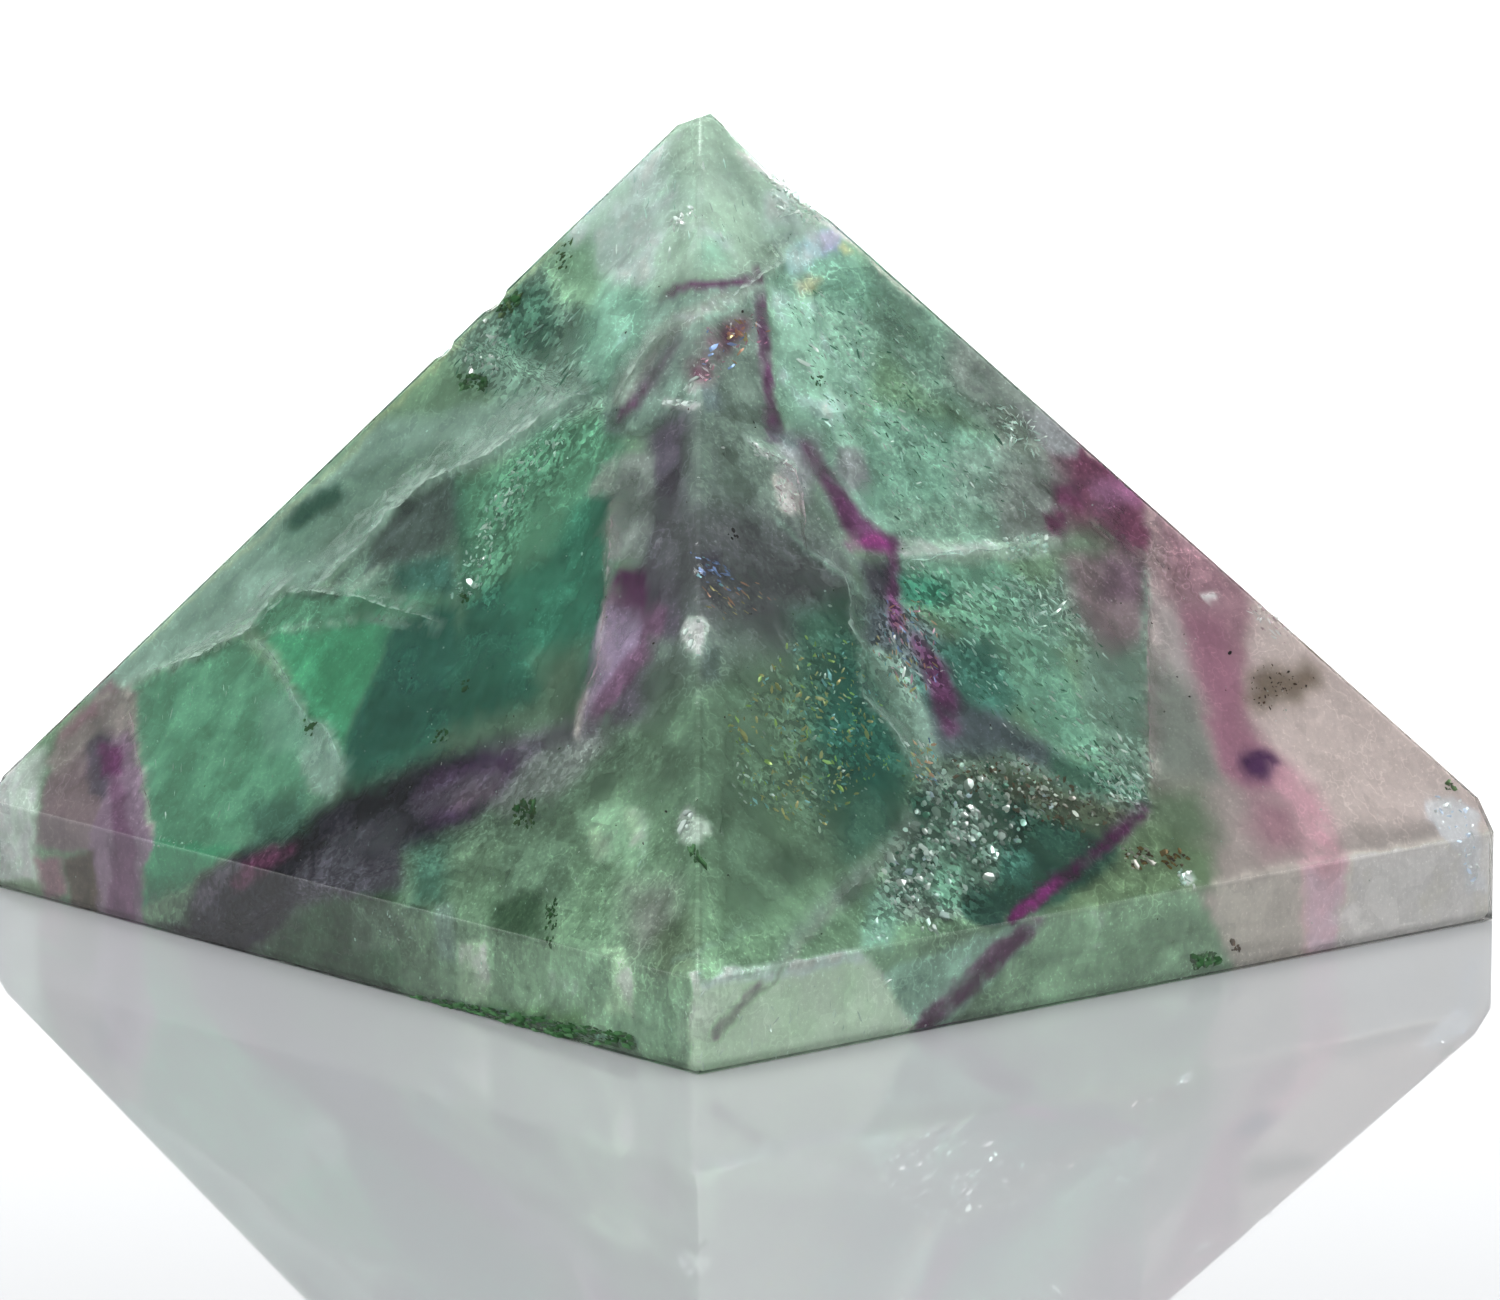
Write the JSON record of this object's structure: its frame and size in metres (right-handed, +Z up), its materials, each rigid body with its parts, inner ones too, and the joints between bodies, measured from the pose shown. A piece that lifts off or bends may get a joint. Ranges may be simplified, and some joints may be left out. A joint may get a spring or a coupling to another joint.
{
  "type": "polished fluorite pyramid",
  "caption": "Hand-cut translucent crystal pyramid with a low upright skirt, a chipped off-centre tip and a flat polished base to stand on.",
  "frame": {"origin": "middle of the flat base, on the surface that the stone stands on", "axes": "+Z up through the tip, +X and +Y square to the upright faces of the skirt, +X along the longer side of the base"},
  "size_m": [0.04, 0.0372, 0.0289],
  "materials": {
    "fluorite": "polished, clear to cloudy, green with purple growth bands"
  },
  "bodies": {
    "root": {"fluorite_pyramid": "fluorite"}
  },
  "joints": []
}
